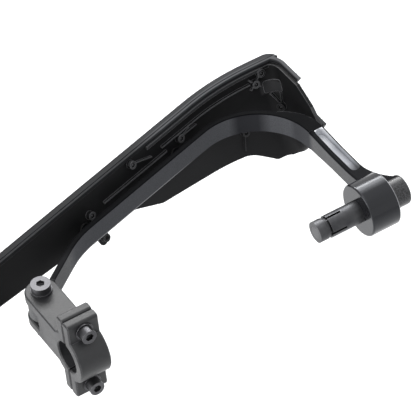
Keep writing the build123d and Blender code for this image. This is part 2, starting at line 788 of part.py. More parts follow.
# Clamp bolts and washers, from the rear
ear_y = -clamp_ear - clamp_split / 2
with BuildPart() as clamp_washers:
    with BuildSketch(Plane.XZ.offset(-ear_y)):
        for side in (1, -1):
            with Locations((pivot_x, side * clamp_bolt_z)):
                Circle(m6_washer_d / 2)
                Circle((m6_d + hole_play) / 2, mode=Mode.SUBTRACT)
    extrude(amount=m6_washer_thickness)
clamp_washers.part.label = "clamp_washers"
export_step(clamp_washers.part, "parts/clamp_washers.step")

head_y = ear_y - m6_washer_thickness
with BuildPart() as clamp_bolts:
    for side in (1, -1):
        with BuildSketch(Plane.XZ.offset(-head_y)):
            with Locations((pivot_x, side * clamp_bolt_z)):
                Circle(m6_cap_d / 2)
        extrude(amount=m6_cap_height)
        with BuildSketch(Plane.XZ.offset(-head_y)):
            with Locations((pivot_x, side * clamp_bolt_z)):
                Circle(m6_d / 2)
        extrude(amount=-m6_washer_thickness - 2 * clamp_ear - clamp_split)
        with BuildSketch(Plane.XZ.offset(m6_cap_height - head_y)):
            with Locations((pivot_x, side * clamp_bolt_z)):
                RegularPolygon(radius=m6_socket / 2, side_count=6, major_radius=False)
        extrude(amount=-m6_cap_height / 2, mode=Mode.SUBTRACT)
clamp_bolts.part.label = "clamp_bolts"
export_step(clamp_bolts.part, "parts/clamp_bolts.step")

# Pivot bolt, washers and nut through the fork
with BuildPart() as pivot_head_washer:
    with BuildSketch(Plane.XY.offset(fork_z)):
        with Locations((pivot_x, pivot_y)):
            Circle(m8_washer_d / 2)
            Circle((m8_d + hole_play) / 2, mode=Mode.SUBTRACT)
    extrude(amount=m8_washer_thickness)
pivot_head_washer.part.label = "pivot_head_washer"
export_step(pivot_head_washer.part, "parts/pivot_head_washer.step")

with BuildPart() as pivot_nut_washer:
    with BuildSketch(Plane.XY.offset(-fork_z)):
        with Locations((pivot_x, pivot_y)):
            Circle(m8_washer_d / 2)
            Circle((m8_d + hole_play) / 2, mode=Mode.SUBTRACT)
    extrude(amount=-m8_washer_thickness)
pivot_nut_washer.part.label = "pivot_nut_washer"
export_step(pivot_nut_washer.part, "parts/pivot_nut_washer.step")

nut_z = -fork_z - m8_washer_thickness - m8_nut_height
with BuildPart() as pivot_bolt:
    with BuildSketch(Plane.XY.offset(fork_z + m8_washer_thickness)):
        with Locations((pivot_x, pivot_y)):
            Circle(m8_head_d / 2)
    extrude(amount=m8_head_height)
    with BuildSketch(Plane.XY.offset(fork_z + m8_washer_thickness + m8_head_height)):
        with Locations((pivot_x, pivot_y)):
            RegularPolygon(radius=m8_socket / 2, side_count=6, major_radius=False)
    extrude(amount=-m8_head_height / 2, mode=Mode.SUBTRACT)
    with BuildSketch(Plane.XY.offset(nut_z - m8_washer_thickness)):
        with Locations((pivot_x, pivot_y)):
            Circle(m8_d / 2)
    extrude(until=Until.NEXT)
pivot_bolt.part.label = "pivot_bolt"
export_step(pivot_bolt.part, "parts/pivot_bolt.step")

with BuildPart() as pivot_nut:
    with BuildSketch(Plane.XY.offset(nut_z)):
        with Locations((pivot_x, pivot_y)):
            RegularPolygon(radius=m8_nut_flats / 2, side_count=6, major_radius=False)
            Circle(m8_d / 2 + thread_play, mode=Mode.SUBTRACT)
    extrude(amount=m8_nut_height)
pivot_nut.part.label = "pivot_nut"
export_step(pivot_nut.part, "parts/pivot_nut.step")
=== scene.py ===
"""Looks of the motorcycle hand guard: finishes, studio light and camera."""

import json
from math import cos, radians, sin, sqrt

import bpy
from mathutils import Matrix, Vector


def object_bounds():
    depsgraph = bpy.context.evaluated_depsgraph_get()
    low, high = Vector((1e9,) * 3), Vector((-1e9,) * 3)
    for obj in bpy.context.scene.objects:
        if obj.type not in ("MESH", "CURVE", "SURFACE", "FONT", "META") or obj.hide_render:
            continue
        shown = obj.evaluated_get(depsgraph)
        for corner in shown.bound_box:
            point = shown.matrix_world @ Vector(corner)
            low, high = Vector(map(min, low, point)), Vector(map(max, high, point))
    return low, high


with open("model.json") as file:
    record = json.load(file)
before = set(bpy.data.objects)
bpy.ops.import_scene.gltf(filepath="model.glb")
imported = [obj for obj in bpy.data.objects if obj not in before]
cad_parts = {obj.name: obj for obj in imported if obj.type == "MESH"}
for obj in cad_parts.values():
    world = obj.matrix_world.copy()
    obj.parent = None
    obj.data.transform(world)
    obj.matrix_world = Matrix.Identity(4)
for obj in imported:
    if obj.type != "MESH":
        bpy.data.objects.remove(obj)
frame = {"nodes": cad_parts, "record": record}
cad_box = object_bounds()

MM = 0.001
nodes = frame["nodes"]

# Camera, fitted to the photograph's frame
FRAME_PIXELS = 420
CAMERA_RIGHT = Vector((0.8284, -0.5582, -0.0461))
CAMERA_UP = Vector((0.4161, 0.5582, 0.7179))
CAMERA_DISTANCE = 2.0
PIXELS_PER_MM = 1.55
ORIGIN_PIXEL = (358.0, 211.3)
SENSOR_WIDTH = 36.0
VIEW_END = 50.0

# Front surface of the mouldings: its plan, a straight run and an arc, and its bow in section
RUN_ANGLE = radians(17.0)
ARC_CENTRE = Vector((0.0069, -0.035, 0.0))
ARC_RADIUS = 0.176
BOW_RADIUS = 0.180
BOW_HEIGHT = 0.0515
RUN_BLEND = 0.001

# Grain and toned edges of every finish: rubbed on most, a painted edge highlight on the shield and the
# weight
GRAIN_SHARE = 0.35
PATCH_SPREAD = (0.35, 0.65)
ROUGH_SPREAD = (0.1, 0.9)
EDGE_TURN = (0.995, 0.86)
EDGE_KEPT = (0.38, 0.62)
EDGE_SAMPLES = 6

# Zones in metres: a pair runs from where a tone starts to where it is full, LOW and HIGH are corners
BEND_FROM = (-0.0245, -0.018)
BEND_TO = (0.0005, -0.006)
OUTER_BEND_FROM = (0.0925, 0.0885)
OUTER_BEND_TO = (0.0712, 0.0740)
OUTER_BEND_SIDE = (0.0, 0.003)
ARM_FROM = (0.0752, 0.0695)
TOP_FROM = (0.0022, 0.0031)
EYE_FROM = (0.0125, 0.0095)
CHANNEL_LOW = (0.0151, 0.0269, -0.012)
CHANNEL_HIGH = (0.02134, 0.0737, 0.012)
CHANNEL_SOFT = 0.00002
CHANNEL_FROM = (0.0285, 0.039)
CHANNEL_HEAD_FROM = (0.056, 0.068)
LOWER_EDGE_RUN = (-0.055, -0.080)
LOWER_EDGE_FROM = (-0.0066, -0.0069)
SEAM_LOW = (0.0005, -0.02, -0.00013)
SEAM_HIGH = (0.0209, 0.0, 0.00013)
SEAM_SOFT = 0.0001
WEIGHT_RIM_LOW = (0.0207, -1.0, -1.0)
WEIGHT_RIM_HIGH = (0.02146, 1.0, 1.0)
WEIGHT_RIM_SOFT = 0.00003
PAD_LOW = (0.0130, 0.1280, -0.0022)
PAD_HIGH = (0.0255, 0.1410, 0.0055)
PAD_SOFT = 0.0015
SHIELD_RIM_LOW = (0.02485, 0.0805, -0.002)
SHIELD_RIM_HIGH = (0.0276, 0.0960, 0.0095)
SHIELD_RIM_SOFT = 0.00008
LOWER_TONE_FROM = (-0.004, -0.016)
CREST_DEPTH = (0.0060, 0.0064)
PAST_TAB = (-0.100, -0.090)
ABOVE_TAB = (-0.0125, -0.0115)
BEFORE_CORNER = (0.016, 0.012)
LEDGE_FROM = (0.0148, 0.0154)
COVER_TOP_FROM = (0.0165, 0.0185)
LIP_RUN = (-0.098, -0.070)
LIP_FROM = (0.0185, 0.0205)
LIP_EDGE_DEPTH = (0.0028, 0.0034)

# Turn of the bar end weight's seam about its own axis
SEAM_TURN = radians(40.5)

# Facing of a surface: how level it is, and how far it looks into the loop of the guard; they pick the
# painted shade on the backbone's level tops and the painted highlights on the shield's crests
LEVEL_FROM = (0.12, 0.45)
INWARD_FROM = (-0.65, -0.8)

# Backbone: grain that shows as specks, the eye's own grain, strength of the painted shade on the bend,
# coat on the eye
SPECK_SPREAD = (0.32, 0.68)
EYE_GRAIN = 900.0
EYE_SPREAD = (0.36, 0.66)
BEND_SHADE = 0.9
OUTER_BEND_SHADE = 0.45
EYE_COAT = 0.8
EYE_COAT_ROUGHNESS = 0.24

# Studio
FLOOR_DROP = 0.32
FLOOR_SIZE = 8.0
PAPER_WHITE = (0.93, 0.93, 0.93, 1.0)
PAPER_LIFT = 0.3
PAPER_ROUGHNESS = 0.9
WORLD_WHITE = (1.0, 1.0, 1.0, 1.0)
WORLD_GREY = (0.95, 0.97, 1.0, 1.0)
WORLD_LIGHT = 0.4

# Finishes, in linear colour
ALLOY_BAND = (0.078, 0.080, 0.087, 1.0)
ALLOY_BAND_SPECK = (0.104, 0.106, 0.114, 1.0)
# Painted light: the arm's side, lighter than the band
ALLOY_ARM_LIT = (0.122, 0.123, 0.126, 1.0)
ALLOY_ARM_LIT_SPECK = (0.185, 0.186, 0.189, 1.0)
# Painted shade on the backbone's level tops
ALLOY_TOP_PAINTED_SHADE = (0.0035, 0.0037, 0.0044, 1.0)
ALLOY_ARM_TOP_PAINTED_SHADE = (0.0125, 0.0128, 0.0142, 1.0)
ALLOY_EYE = (0.022, 0.0222, 0.0235, 1.0)
ALLOY_EYE_SPECK = (0.105, 0.1055, 0.111, 1.0)
# Painted shade on the backbone's bend
ALLOY_BEND_PAINTED_SHADE = (0.024, 0.0245, 0.028, 1.0)
ALLOY_WORN = (0.17, 0.173, 0.183, 1.0)
# Painted highlight on the band's lower edge
ALLOY_LOWER_EDGE_HIGHLIGHT = (0.30, 0.302, 0.31, 1.0)
# Channel: a pale machined floor with a painted reflection, and painted light at its head
CHANNEL_PALE = (0.55, 0.56, 0.595, 1.0)
CHANNEL_HEAD_PAINTED_LIGHT = (0.86, 0.87, 0.9, 1.0)
WEIGHT_BLACK = (0.007, 0.007, 0.0085, 1.0)
WEIGHT_WORN = (0.05, 0.05, 0.053, 1.0)
# Painted highlight on the weight's rim and edges
WEIGHT_EDGE_GLINT = (0.42, 0.42, 0.44, 1.0)
WEIGHT_GLOSS = (0.91, 0.94, 1.0, 1.0)
WEIGHT_SEAM = (0.0005, 0.0005, 0.0005, 1.0)
SHIELD_BLACK = (0.0095, 0.0096, 0.0102, 1.0)
SHIELD_SCUFF = (0.022, 0.022, 0.024, 1.0)
# Paler tone on the shield's lower part
SHIELD_LOWER_TONE = (0.021, 0.021, 0.0222, 1.0)
# Painted highlights on the shield's edges, fainter low down
SHIELD_EDGE_HIGHLIGHT = (0.21, 0.21, 0.218, 1.0)
SHIELD_LOW_EDGE_HIGHLIGHT = (0.085, 0.085, 0.088, 1.0)
# Painted light on the shield's pad
SHIELD_PAD_LIT = (0.04, 0.04, 0.042, 1.0)
# Painted light on the shield's rim by the wing
SHIELD_RIM_LIT = (0.085, 0.085, 0.088, 1.0)
# Painted highlights on the shield's crests, and painted light on its ledge
SHIELD_CREST_HIGHLIGHT = (0.1, 0.1, 0.103, 1.0)
SHIELD_LEDGE_LIT = (0.044, 0.044, 0.046, 1.0)
COVER_BLACK = (0.0135, 0.014, 0.0155, 1.0)
COVER_SKIN = (0.026, 0.0265, 0.029, 1.0)
COVER_SCUFF = (0.05, 0.051, 0.055, 1.0)
# Painted light on the cover's lip, darker along its front edge
COVER_LIP_LIT = (0.076, 0.077, 0.082, 1.0)
COVER_LIP_EDGE = (0.03, 0.031, 0.034, 1.0)
CLAMP_BLACK = (0.018, 0.0185, 0.02, 1.0)
CLAMP_WORN = (0.14, 0.14, 0.147, 1.0)
STEEL_DARK = (0.07, 0.07, 0.075, 1.0)
STEEL_WORN = (0.30, 0.30, 0.31, 1.0)
SLEEVE_GREY = (0.055, 0.056, 0.06, 1.0)
SLEEVE_BRIGHT = (0.16, 0.161, 0.167, 1.0)
RUBBER_BLACK = (0.01, 0.01, 0.01, 1.0)
RUBBER_DUSTY = (0.028, 0.028, 0.028, 1.0)


def new_group(name, inputs, outputs):
    """Shader node group; inputs are (name, type, default) and outputs are (name, type)."""
    group = bpy.data.node_groups.new(name, "ShaderNodeTree")
    for socket_name, socket_type, default in inputs:
        socket = group.interface.new_socket(socket_name, in_out="INPUT", socket_type=socket_type)
        if default is not None:
            socket.default_value = default
    for socket_name, socket_type in outputs:
        group.interface.new_socket(socket_name, in_out="OUTPUT", socket_type=socket_type)
    return group, group.nodes.new("NodeGroupInput"), group.nodes.new("NodeGroupOutput")


def feed(tree, value, socket):
    """Links a socket to another, or sets a plain value on it."""
    if isinstance(value, bpy.types.NodeSocket):
        tree.links.new(value, socket)
    else:
        socket.default_value = value


def math_node(tree, operation, first, second=0.0, third=None):
    """Math node on sockets or numbers; returns its output socket."""
    node = tree.nodes.new("ShaderNodeMath")
    node.operation = operation
    feed(tree, first, node.inputs[0])
    feed(tree, second, node.inputs[1])
    if third is not None:
        feed(tree, third, node.inputs[2])
    return node.outputs[0]


def noise_node(tree, vector, scale, detail, roughness):
    """Noise texture on a vector; returns its value."""
    node = tree.nodes.new("ShaderNodeTexNoise")
    node.inputs["Detail"].default_value = detail
    node.inputs["Roughness"].default_value = roughness
    feed(tree, vector, node.inputs["Vector"])
    feed(tree, scale, node.inputs["Scale"])
    return node.outputs["Fac"]


def map_range(tree, value, low, high, to_low=0.0, to_high=1.0):
    """Clamped map range on a value; returns its result."""
    node = tree.nodes.new("ShaderNodeMapRange")
    feed(tree, value, node.inputs["Value"])
    feed(tree, low, node.inputs["From Min"])
    feed(tree, high, node.inputs["From Max"])
    feed(tree, to_low, node.inputs["To Min"])
    feed(tree, to_high, node.inputs["To Max"])
    return node.outputs["Result"]


def mix_colour(tree, factor, first, second):
    """Colour mix of two colours or sockets; returns its result."""
    node = tree.nodes.new("ShaderNodeMix")
    node.data_type = "RGBA"
    feed(tree, factor, node.inputs["Factor"])
    feed(tree, first, node.inputs["A"])
    feed(tree, second, node.inputs["B"])
    return node.outputs["Result"]


def split_vector(tree, vector):
    """X, Y and Z sockets of a vector."""
    node = tree.nodes.new("ShaderNodeSeparateXYZ")
    feed(tree, vector, node.inputs[0])
    return node.outputs[0], node.outputs[1], node.outputs[2]


def background_rays(tree):
    """Mask of the rays that see the background: camera, glossy and transmission rays."""
    path = tree.nodes.new("ShaderNodeLightPath")
    seen = math_node(tree, "MAXIMUM", path.outputs["Is Camera Ray"], path.outputs["Is Glossy Ray"])
    return math_node(tree, "MAXIMUM", seen, path.outputs["Is Transmission Ray"])


def place_group(tree, group, **values):
    """Group node in a tree, its inputs fed by name with spaces as underscores."""
    node = tree.nodes.new("ShaderNodeGroup")
    node.node_tree = group
    for name, value in values.items():
        feed(tree, value, node.inputs[name.replace("_", " ")])
    return node


def build_surface_grain():
    """Fine moulded or blasted grain: a bump height, a patchy mask and a roughness."""
    group, entry, leave = new_group(
        "surface_grain",
        (
            ("Vector", "NodeSocketVector", None),
            ("Grain per metre", "NodeSocketFloat", 2500.0),
            ("Patch per metre", "NodeSocketFloat", 25.0),
            ("Roughness low", "NodeSocketFloat", 0.45),
            ("Roughness high", "NodeSocketFloat", 0.6),
        ),
        (("Height", "NodeSocketFloat"), ("Patch", "NodeSocketFloat"), ("Roughness", "NodeSocketFloat")),
    )
    vector = entry.outputs["Vector"]
    fine = noise_node(group, vector, entry.outputs["Grain per metre"], detail=2.0, roughness=0.6)
    patch = noise_node(group, vector, entry.outputs["Patch per metre"], detail=4.0, roughness=0.6)
    spread = map_range(group, patch, *PATCH_SPREAD)
    patch_part = math_node(group, "MULTIPLY", spread, 1.0 - GRAIN_SHARE)
    mixed = math_node(group, "MULTIPLY_ADD", fine, GRAIN_SHARE, patch_part)
    rough = map_range(
        group, mixed, *ROUGH_SPREAD, entry.outputs["Roughness low"], entry.outputs["Roughness high"]
    )
    group.links.new(fine, leave.inputs["Height"])
    group.links.new(spread, leave.inputs["Patch"])
    group.links.new(rough, leave.inputs["Roughness"])
    return group


def build_edge_rub_and_glint():
    """Softened edges and the mask of where they are toned: rubbed on most finishes, a painted edge
    highlight on the shield and the weight.
    """
    group, entry, leave = new_group(
        "edge_rub_and_glint",
        (
            ("Vector", "NodeSocketVector", None),
            ("Radius", "NodeSocketFloat", 0.0005),
            ("Break-up per metre", "NodeSocketFloat", 180.0),
            ("Kept from", "NodeSocketFloat", EDGE_KEPT[0]),
            ("Kept to", "NodeSocketFloat", EDGE_KEPT[1]),
        ),
        (("Mask", "NodeSocketFloat"), ("Normal", "NodeSocketVector")),
    )
    bevel = group.nodes.new("ShaderNodeBevel")
    bevel.samples = EDGE_SAMPLES
    group.links.new(entry.outputs["Radius"], bevel.inputs["Radius"])
    geometry = group.nodes.new("ShaderNodeNewGeometry")
    dot = group.nodes.new("ShaderNodeVectorMath")
    dot.operation = "DOT_PRODUCT"
    group.links.new(bevel.outputs["Normal"], dot.inputs[0])
    group.links.new(geometry.outputs["Normal"], dot.inputs[1])
    edge = map_range(group, dot.outputs["Value"], *EDGE_TURN)
    broken = noise_node(
        group, entry.outputs["Vector"], entry.outputs["Break-up per metre"], detail=4.0, roughness=0.65
    )
    keep = map_range(group, broken, entry.outputs["Kept from"], entry.outputs["Kept to"])
    group.links.new(math_node(group, "MULTIPLY", edge, keep), leave.inputs["Mask"])
    group.links.new(bevel.outputs["Normal"], leave.inputs["Normal"])
    return group


def build_box_zone():
    """Mask of what lies inside a box, both of its corners given in metres."""
    group, entry, leave = new_group(
        "box_zone",
        (
            ("Vector", "NodeSocketVector", None),
            ("Low", "NodeSocketVector", (0.0, 0.0, 0.0)),
            ("High", "NodeSocketVector", (1.0, 1.0, 1.0)),
            ("Soft", "NodeSocketFloat", 0.0001),
        ),
        (("Mask", "NodeSocketFloat"),),
    )
    spots = split_vector(group, entry.outputs["Vector"])
    lows = split_vector(group, entry.outputs["Low"])
    highs = split_vector(group, entry.outputs["High"])
    soft = entry.outputs["Soft"]
    mask = None
    for spot, low, high in zip(spots, lows, highs):
        above = map_range(group, spot, math_node(group, "SUBTRACT", low, soft), low)
        below = map_range(group, spot, math_node(group, "ADD", high, soft), high)
        both = math_node(group, "MULTIPLY", above, below)
        mask = both if mask is None else math_node(group, "MULTIPLY", mask, both)
    group.links.new(mask, leave.inputs["Mask"])
    return group


def build_level_faces():
    """Mask of faces that look up or down."""
    group, entry, leave = new_group(
        "level_faces",
        (("From", "NodeSocketFloat", 0.55), ("To", "NodeSocketFloat", 0.85)),
        (("Mask", "NodeSocketFloat"),),
    )
    geometry = group.nodes.new("ShaderNodeNewGeometry")
    upward = split_vector(group, geometry.outputs["Normal"])[2]
    steep = math_node(group, "ABSOLUTE", upward)
    level = map_range(group, steep, entry.outputs["From"], entry.outputs["To"])
    group.links.new(level, leave.inputs["Mask"])
    return group


def build_front_depth():
    """How deep a point lies behind the front surface of the mouldings, in metres."""
    group, entry, leave = new_group(
        "front_depth", (("Vector", "NodeSocketVector", None),), (("Depth", "NodeSocketFloat"),)
    )
    across, forward, upward = split_vector(group, entry.outputs["Vector"])
    from_centre_x = math_node(group, "SUBTRACT", across, ARC_CENTRE.x)
    from_centre_y = math_node(group, "SUBTRACT", forward, ARC_CENTRE.y)
    y_squared = math_node(group, "POWER", from_centre_y, 2.0)
    squared = math_node(group, "MULTIPLY_ADD", from_centre_x, from_centre_x, y_squared)
    on_arc = math_node(group, "SQRT", squared)
    sideways = math_node(group, "MULTIPLY", from_centre_x, -sin(RUN_ANGLE))
    on_run = math_node(group, "MULTIPLY_ADD", from_centre_y, cos(RUN_ANGLE), sideways)
    tangent_x = ARC_CENTRE.x - ARC_RADIUS * sin(RUN_ANGLE)
    share = map_range(group, across, tangent_x - RUN_BLEND, tangent_x + RUN_BLEND)
    change = math_node(group, "SUBTRACT", on_arc, on_run)
    plan = math_node(group, "MULTIPLY_ADD", change, share, on_run)
    bow_centre = ARC_RADIUS - sqrt(BOW_RADIUS**2 - BOW_HEIGHT**2)
    out = math_node(group, "SUBTRACT", plan, bow_centre)
    down = math_node(group, "SUBTRACT", upward, BOW_HEIGHT)
    down_squared = math_node(group, "POWER", down, 2.0)
    bow_squared = math_node(group, "MULTIPLY_ADD", out, out, down_squared)
    depth = math_node(group, "SUBTRACT", BOW_RADIUS, math_node(group, "SQRT", bow_squared))
    group.links.new(depth, leave.inputs["Depth"])
    return group


surface_grain = build_surface_grain()
edge_rub_and_glint = build_edge_rub_and_glint()
box_zone = build_box_zone()
level_faces = build_level_faces()
front_depth = build_front_depth()


class Finish:
    """Material with a grained Principled shader whose edges are toned, rubbed on most finishes and a
    painted highlight on some, and whose colour is made step by step.
    """

    def __init__(self, name, grain, patch, rough, edge, kept=EDGE_KEPT):
        self.material = bpy.data.materials.new(name)
        self.material.use_nodes = True
        self.tree = self.material.node_tree
        self.tree.nodes.clear()
        output = self.tree.nodes.new("ShaderNodeOutputMaterial")
        self.shader = self.tree.nodes.new("ShaderNodeBsdfPrincipled")
        self.tree.links.new(self.shader.outputs["BSDF"], output.inputs["Surface"])
        self.place = self.tree.nodes.new("ShaderNodeTexCoord").outputs["Object"]
        self.grain = place_group(
            self.tree,
            surface_grain,
            Vector=self.place,
            Grain_per_metre=grain,
            Patch_per_metre=patch,
            Roughness_low=rough[0],
            Roughness_high=rough[1],
        )
        self.edge = place_group(
            self.tree, edge_rub_and_glint, Vector=self.place, Radius=edge, Kept_from=kept[0], Kept_to=kept[1]
        )
        self.height = self.grain.outputs["Height"]

    def tint(self, base, mixed_tone, share):
        """Base colour, drawn towards the worn colour in patches."""
        patchy = tuple(low + (high - low) * share for low, high in zip(base, mixed_tone))
        return mix_colour(self.tree, self.grain.outputs["Patch"], base, patchy)

    def zone(self, vector, low, high, soft):
        """Mask of what lies inside a box, in the coordinates of the vector."""
        box = place_group(self.tree, box_zone, Vector=vector, Low=low, High=high, Soft=soft)
        return box.outputs["Mask"]

    def close(self, colour, mixed_tone, bump, depth, metallic=0.0, specular=0.5):
        """Tones the edges (worn on most finishes, a painted highlight on the shield and the weight),
        adds the relief and feeds the shader.
        """
        toned = mix_colour(self.tree, self.edge.outputs["Mask"], colour, mixed_tone)
        feed(self.tree, toned, self.shader.inputs["Base Color"])
        feed(self.tree, self.grain.outputs["Roughness"], self.shader.inputs["Roughness"])
        relief = self.tree.nodes.new("ShaderNodeBump")
        relief.inputs["Strength"].default_value = bump
        relief.inputs["Distance"].default_value = depth
        feed(self.tree, self.height, relief.inputs["Height"])
        feed(self.tree, self.edge.outputs["Normal"], relief.inputs["Normal"])
        feed(self.tree, relief.outputs["Normal"], self.shader.inputs["Normal"])
        feed(self.tree, metallic, self.shader.inputs["Metallic"])
        self.shader.inputs["Specular IOR Level"].default_value = specular
        return self.material


def forged_alloy():
    """Backbone: satin grey sides, the arm's side painted lighter as painted light, tops and bend
    painted darker as painted shade, a machined channel painted pale, partly a painted reflection, and a
    painted highlight along the lower edge.
    """
    finish = Finish("forged_alloy", grain=1500.0, patch=30.0, rough=(0.36, 0.46), edge=0.0004)
    tree = finish.tree
    across, along_arm, upward = split_vector(tree, finish.place)
    speck = map_range(tree, finish.height, *SPECK_SPREAD)

    plain_band = mix_colour(tree, speck, ALLOY_BAND, ALLOY_BAND_SPECK)
    # Painted shade: two darker stretches on the bend, standing in for dark reflections in the satin
    # metal
    bend_start = map_range(tree, across, *BEND_FROM)
    bend_end = map_range(tree, across, *BEND_TO)
    bend = math_node(tree, "MULTIPLY", bend_start, bend_end)
    outer_start = map_range(tree, along_arm, *OUTER_BEND_FROM)
    outer_end = map_range(tree, along_arm, *OUTER_BEND_TO)
    outer_stretch = math_node(tree, "MULTIPLY", outer_start, outer_end)
    outer_side = map_range(tree, across, *OUTER_BEND_SIDE)
    outer_bend = math_node(tree, "MULTIPLY", outer_stretch, outer_side)
    inner_shade = math_node(tree, "MULTIPLY", bend, BEND_SHADE)
    shade = math_node(tree, "MULTIPLY_ADD", outer_bend, OUTER_BEND_SHADE, inner_shade)
    band = mix_colour(tree, shade, plain_band, ALLOY_BEND_PAINTED_SHADE)

    # Painted light: the arm's side is painted lighter than the band, standing in for more light falling
    # on it
    arm = mix_colour(tree, speck, ALLOY_ARM_LIT, ALLOY_ARM_LIT_SPECK)
    on_arm = map_range(tree, along_arm, *ARM_FROM)
    side = mix_colour(tree, on_arm, band, arm)

    eye_grain = noise_node(tree, finish.place, EYE_GRAIN, detail=4.0, roughness=0.7)
    eye_speck = map_range(tree, eye_grain, *EYE_SPREAD)
    eye_skin = mix_colour(tree, eye_speck, ALLOY_EYE, ALLOY_EYE_SPECK)
    eye = map_range(tree, along_arm, *EYE_FROM)
    sided = mix_colour(tree, eye, side, eye_skin)

    # Painted shade: level tops beyond the eye are painted dark, standing in for dark reflections on
    # them
    level = place_group(tree, level_faces, From=LEVEL_FROM[0], To=LEVEL_FROM[1])
    beyond_eye = map_range(tree, along_arm, *TOP_FROM)
    on_top = math_node(tree, "MULTIPLY", level.outputs["Mask"], beyond_eye)
    top = mix_colour(tree, on_arm, ALLOY_TOP_PAINTED_SHADE, ALLOY_ARM_TOP_PAINTED_SHADE)
    topped = mix_colour(tree, on_top, sided, top)

    off_top = math_node(tree, "MULTIPLY_ADD", on_top, -EYE_COAT, EYE_COAT)
    feed(tree, math_node(tree, "MULTIPLY", eye, off_top), finish.shader.inputs["Coat Weight"])
    finish.shader.inputs["Coat Roughness"].default_value = EYE_COAT_ROUGHNESS

    # Channel floor painted pale: a machined tone together with a painted reflection, painted brighter
    # towards its head as painted light
    channel = finish.zone(finish.place, CHANNEL_LOW, CHANNEL_HIGH, CHANNEL_SOFT)
    bare_and_sheen = math_node(tree, "MULTIPLY", channel, map_range(tree, along_arm, *CHANNEL_FROM))
    pale = mix_colour(tree, map_range(tree, along_arm, *CHANNEL_HEAD_FROM), CHANNEL_PALE, CHANNEL_HEAD_PAINTED_LIGHT)
    channelled = mix_colour(tree, bare_and_sheen, topped, pale)

    # Painted highlight: a light line along the lowest edge of the band's inner run
    on_run = map_range(tree, across, *LOWER_EDGE_RUN)
    lower_edge_highlight = math_node(tree, "MULTIPLY", on_run, map_range(tree, upward, *LOWER_EDGE_FROM))
    colour = mix_colour(tree, lower_edge_highlight, channelled, ALLOY_LOWER_EDGE_HIGHLIGHT)
    return finish.close(colour, ALLOY_WORN, bump=0.16, depth=0.00012, specular=0.012)


def black_weight():
    """Bar end weight: deep gloss black, with a faint seam along it, and a painted highlight on its
    outer rim and edges.
    """
    finish = Finish(
        "black_weight", grain=700.0, patch=40.0, rough=(0.16, 0.21), edge=0.0006, kept=(0.0, 0.35)
    )
    tree = finish.tree
    plain = finish.tint(WEIGHT_BLACK, WEIGHT_WORN, share=0.03)
    turned = tree.nodes.new("ShaderNodeMapping")
    turned.inputs["Rotation"].default_value = (SEAM_TURN, 0.0, 0.0)
    feed(tree, finish.place, turned.inputs["Vector"])
    seam = finish.zone(turned.outputs["Vector"], SEAM_LOW, SEAM_HIGH, SEAM_SOFT)
    seamed = mix_colour(tree, seam, plain, WEIGHT_SEAM)
    # Painted highlight: a bright line round the outer rim, standing in for light caught by its chamfer
    rim = finish.zone(finish.place, WEIGHT_RIM_LOW, WEIGHT_RIM_HIGH, WEIGHT_RIM_SOFT)
    colour = mix_colour(tree, rim, seamed, WEIGHT_EDGE_GLINT)
    finish.shader.inputs["Specular Tint"].default_value = WEIGHT_GLOSS
    return finish.close(colour, WEIGHT_EDGE_GLINT, bump=0.02, depth=0.00005, specular=0.48)


def shield_plastic():
    """Shield: matte black moulding, paler low down, with painted light on its ledge, crests, pad and
    rim, and painted highlights on its edges.
    """
    finish = Finish(
        "shield_plastic", grain=3200.0, patch=22.0, rough=(0.42, 0.55), edge=0.0006, kept=(0.0, 0.3)
    )
    tree = finish.tree
    across, _, upward = split_vector(tree, finish.place)
    plain = finish.tint(SHIELD_BLACK, SHIELD_SCUFF, share=0.2)
    # Paler towards the bottom
    lower = map_range(tree, upward, *LOWER_TONE_FROM)
    paler_low = mix_colour(tree, lower, plain, SHIELD_LOWER_TONE)
    # Painted light: a paler patch on the pad, standing in for a face lit from above
    pad = finish.zone(finish.place, PAD_LOW, PAD_HIGH, PAD_SOFT)
    padded = mix_colour(tree, pad, paler_low, SHIELD_PAD_LIT)
    # Painted light: a paler stretch of the rim beside the cover's wing, where the render shades it
    rim = finish.zone(finish.place, SHIELD_RIM_LOW, SHIELD_RIM_HIGH, SHIELD_RIM_SOFT)
    rimmed = mix_colour(tree, rim, padded, SHIELD_RIM_LIT)

    # Painted highlights: inward-facing crests of the ribs and bosses painted pale, and the ledge
    # painted lighter as painted light
    depth = place_group(tree, front_depth, Vector=finish.place).outputs["Depth"]
    past_tab = map_range(tree, across, *PAST_TAB)
    off_tab = math_node(tree, "MAXIMUM", past_tab, map_range(tree, upward, *ABOVE_TAB))
    before_corner = map_range(tree, across, *BEFORE_CORNER)
    crest_zone = math_node(tree, "MULTIPLY", off_tab, before_corner)
    raised = math_node(tree, "MULTIPLY", map_range(tree, depth, *CREST_DEPTH), crest_zone)
    facing = tree.nodes.new("ShaderNodeNewGeometry").outputs["Normal"]
    inward = map_range(tree, split_vector(tree, facing)[1], *INWARD_FROM)
    ledge = map_range(tree, upward, *LEDGE_FROM)
    crest_highlight = math_node(tree, "MULTIPLY", raised, math_node(tree, "MAXIMUM", inward, ledge))
    dull = math_node(tree, "MAXIMUM", ledge, lower)
    colour = mix_colour(tree, crest_highlight, rimmed, mix_colour(tree, dull, SHIELD_CREST_HIGHLIGHT, SHIELD_LEDGE_LIT))

    # Painted highlights along the shield's edges, fainter low down beyond the tab
    faint = math_node(tree, "MULTIPLY", lower, past_tab)
    edge = mix_colour(tree, faint, SHIELD_EDGE_HIGHLIGHT, SHIELD_LOW_EDGE_HIGHLIGHT)
    return finish.close(colour, edge, bump=0.12, depth=0.0001, specular=0.14)


